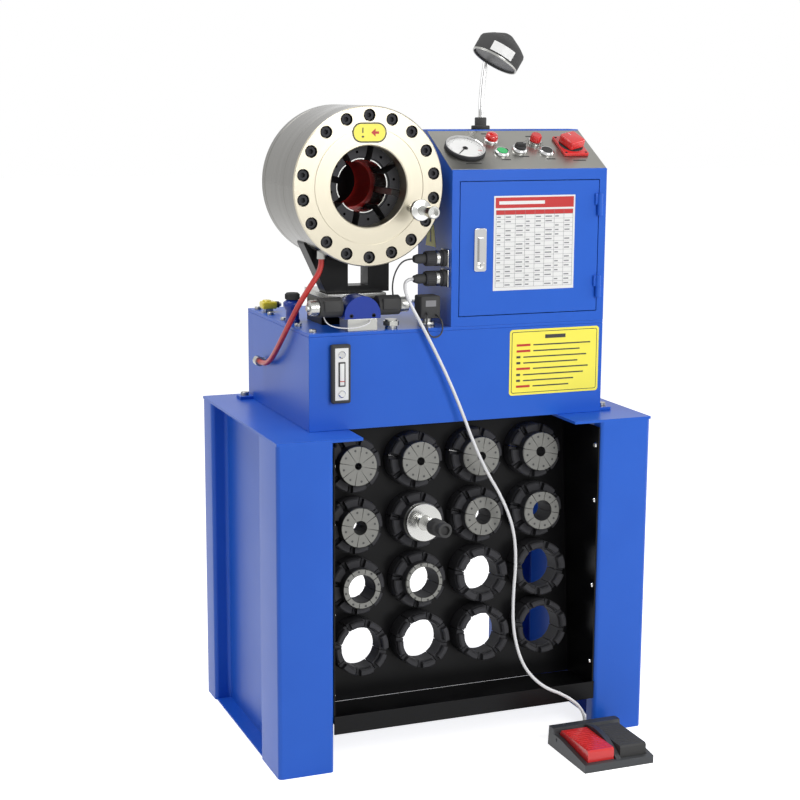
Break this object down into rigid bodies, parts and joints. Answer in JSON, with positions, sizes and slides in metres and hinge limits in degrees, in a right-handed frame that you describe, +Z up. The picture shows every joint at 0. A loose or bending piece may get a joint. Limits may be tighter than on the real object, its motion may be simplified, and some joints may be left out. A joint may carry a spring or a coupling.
{
  "type": "hose crimping machine",
  "caption": "Hydraulic hose crimping machine with a round die head, oil tank, control cabinet, die rack stand and foot pedal.",
  "frame": {"origin": "centre of the bounding box's foot, on the floor", "axes": "+X to the operator's right, +Y to the rear, +Z up"},
  "size_m": [0.73, 0.651, 1.3099],
  "materials": {
    "black_paint": "gloss",
    "blue_paint": "semi gloss",
    "blue_lid": "semi gloss",
    "black_oxide": "black oxide",
    "black_plastic": "matte",
    "steel": "satin",
    "head_steel": "machined, satin",
    "red_sleeve": "gloss",
    "chrome": "polished",
    "grey_sheet": "satin",
    "yellow_plastic": "gloss",
    "level_gauge": "gloss",
    "red_plastic": "gloss",
    "green_plastic": "gloss",
    "needle": "matte",
    "pedal_paint": "textured",
    "red_hose": "smooth",
    "white_cable": "smooth"
  },
  "bodies": {
    "stand": {"left_side_frame": "blue_paint", "right_side_frame": "blue_paint", "die_rack": "black_paint", "rack_shelf": "black_paint", "oil_tank": "blue_paint", "tank_lid": "blue_lid", "cabinet_shell": "blue_paint", "stored_dies": "black_oxide", "frame_screws": "black_oxide", "head_screws": "black_oxide", "head_bracket": "black_paint", "head_base_plate": "head_steel", "head_cylinder": "head_steel", "head_front_cover": "head_steel", "rear_sleeve": "red_sleeve", "valve_body": "blue_paint", "valve_subplate": "steel", "solenoids": "black_plastic", "hose_fittings": "steel", "pressure_switch": "black_plastic", "cable_plugs": "black_plastic", "filler_neck": "blue_paint", "float_switch": "yellow_plastic", "level_gauge": "level_gauge", "motor": "blue_paint", "pump": "steel", "control_panel": "grey_sheet", "control_gear": "grey_sheet", "pressure_gauge": "chrome", "button_bezels": "chrome", "signal_lamp": "red_plastic", "main_switch_plate": "red_plastic", "lamp_arm": "steel", "pedal_housing": "pedal_paint", "pedal_cable": "white_cable", "drain_hose": "red_hose"},
    "piston": {"piston_cone": "black_oxide"},
    "master_die_1": {"master_die_1": "black_oxide"},
    "master_die_2": {"master_die_2": "black_oxide"},
    "master_die_3": {"master_die_3": "black_oxide"},
    "master_die_4": {"master_die_4": "black_oxide"},
    "master_die_5": {"master_die_5": "black_oxide"},
    "master_die_6": {"master_die_6": "black_oxide"},
    "master_die_7": {"master_die_7": "black_oxide"},
    "master_die_8": {"master_die_8": "black_oxide"},
    "door": {"cabinet_door": "blue_paint", "latch_plate": "chrome"},
    "latch": {"latch_lever": "steel"},
    "green_button": {"green_button": "green_plastic"},
    "black_button": {"black_button": "black_plastic"},
    "selector": {"selector": "black_plastic"},
    "timer_knob": {"timer_knob": "red_plastic"},
    "main_switch": {"main_switch_knob": "red_plastic"},
    "gauge_needle": {"gauge_needle": "needle"},
    "lamp_head": {"lamp_head": "black_plastic"},
    "red_paddle": {"red_paddle": "red_plastic"},
    "black_paddle": {"black_paddle": "black_plastic"},
    "quick_change_tool": {"quick_change_tool": "steel"},
    "head_tool": {"head_tool": "steel"},
    "filler_cap": {"filler_cap": "black_plastic"}
  },
  "joints": [
    {"name": "piston_slide", "type": "slide", "parent": "stand", "child": "piston", "axis": [0, -1, 0], "range_m": [0, 0.03846]},
    {"name": "master_die_1_slide", "type": "slide", "parent": "stand", "child": "master_die_1", "axis": [-0.9848, 0, -0.1736], "range_m": [0, 0.014]},
    {"name": "master_die_2_slide", "type": "slide", "parent": "stand", "child": "master_die_2", "axis": [-0.5736, 0, -0.8192], "range_m": [0, 0.014]},
    {"name": "master_die_3_slide", "type": "slide", "parent": "stand", "child": "master_die_3", "axis": [0.1736, 0, -0.9848], "range_m": [0, 0.014]},
    {"name": "master_die_4_slide", "type": "slide", "parent": "stand", "child": "master_die_4", "axis": [0.8192, 0, -0.5736], "range_m": [0, 0.014]},
    {"name": "master_die_5_slide", "type": "slide", "parent": "stand", "child": "master_die_5", "axis": [0.9848, 0, 0.1736], "range_m": [0, 0.014]},
    {"name": "master_die_6_slide", "type": "slide", "parent": "stand", "child": "master_die_6", "axis": [0.5736, 0, 0.8192], "range_m": [0, 0.014]},
    {"name": "master_die_7_slide", "type": "slide", "parent": "stand", "child": "master_die_7", "axis": [-0.1736, 0, 0.9848], "range_m": [0, 0.014]},
    {"name": "master_die_8_slide", "type": "slide", "parent": "stand", "child": "master_die_8", "axis": [-0.8192, 0, 0.5736], "range_m": [0, 0.014]},
    {"name": "door_hinge", "type": "hinge", "parent": "stand", "child": "door", "pos_m": [0.28375, -0.0885, 0.925], "axis": [0, 0, 1], "range_deg": [0, 110]},
    {"name": "latch_turn", "type": "hinge", "parent": "door", "child": "latch", "pos_m": [0.0445, -0.0885, 0.923], "axis": [0, 1, 0], "range_deg": [0, 90]},
    {"name": "green_button_press", "type": "slide", "parent": "stand", "child": "green_button", "axis": [0, 0.4955, -0.8686], "range_m": [0, 0.004], "stiffness_N_per_m": 400, "springref_m": -0.003},
    {"name": "black_button_press", "type": "slide", "parent": "stand", "child": "black_button", "axis": [0, 0.4955, -0.8686], "range_m": [0, 0.004], "stiffness_N_per_m": 400, "springref_m": -0.003},
    {"name": "selector_turn", "type": "hinge", "parent": "stand", "child": "selector", "pos_m": [0.148, -0.0284, 1.10564], "axis": [0, -0.4955, 0.8686], "range_deg": [-45, 45]},
    {"name": "timer_turn", "type": "hinge", "parent": "stand", "child": "timer_knob", "pos_m": [0.188, -0.00842, 1.11704], "axis": [0, 0.4955, -0.8686], "range_deg": [0, 300]},
    {"name": "main_switch_turn", "type": "hinge", "parent": "stand", "child": "main_switch", "pos_m": [0.255, -0.02232, 1.10911], "axis": [0, 0.4955, -0.8686], "range_deg": [0, 90]},
    {"name": "needle_turn", "type": "hinge", "parent": "stand", "child": "gauge_needle", "pos_m": [0.039, -0.02418, 1.10229], "axis": [0, 0.4955, -0.8686], "range_deg": [0, 270], "stiffness_Nm_per_rad": 0.002, "springref_deg": -11.46},
    {"name": "lamp_tilt", "type": "hinge", "parent": "stand", "child": "lamp_head", "pos_m": [0.11744, 0.0099, 1.27079], "axis": [0, 1, 0], "range_deg": [-35, 35]},
    {"name": "red_paddle_press", "type": "hinge", "parent": "stand", "child": "red_paddle", "pos_m": [0.194, -0.2115, 0.021], "axis": [1, 0, 0], "range_deg": [0, 3.26], "stiffness_Nm_per_rad": 12, "springref_deg": -4.58},
    {"name": "black_paddle_press", "type": "hinge", "parent": "stand", "child": "black_paddle", "pos_m": [0.26, -0.2115, 0.021], "axis": [1, 0, 0], "range_deg": [0, 3.26], "stiffness_Nm_per_rad": 12, "springref_deg": -4.58},
    {"name": "tool_pull", "type": "slide", "parent": "stand", "child": "quick_change_tool", "axis": [0, -0.9954, 0.0958], "range_m": [0, 0.08]},
    {"name": "head_tool_pull", "type": "slide", "parent": "stand", "child": "head_tool", "axis": [0, -1, 0], "range_m": [0, 0.04]},
    {"name": "filler_cap_turn", "type": "hinge", "parent": "stand", "child": "filler_cap", "pos_m": [-0.2595, 0.0755, 0.83], "axis": [0, 0, 1], "range_deg": [0, 90]}
  ],
  "couplings": [
    {"joint": "master_die_1_slide", "follows": "piston_slide", "ratio": 0.36397},
    {"joint": "master_die_2_slide", "follows": "piston_slide", "ratio": 0.36397},
    {"joint": "master_die_3_slide", "follows": "piston_slide", "ratio": 0.36397},
    {"joint": "master_die_4_slide", "follows": "piston_slide", "ratio": 0.36397},
    {"joint": "master_die_5_slide", "follows": "piston_slide", "ratio": 0.36397},
    {"joint": "master_die_6_slide", "follows": "piston_slide", "ratio": 0.36397},
    {"joint": "master_die_7_slide", "follows": "piston_slide", "ratio": 0.36397},
    {"joint": "master_die_8_slide", "follows": "piston_slide", "ratio": 0.36397}
  ]
}
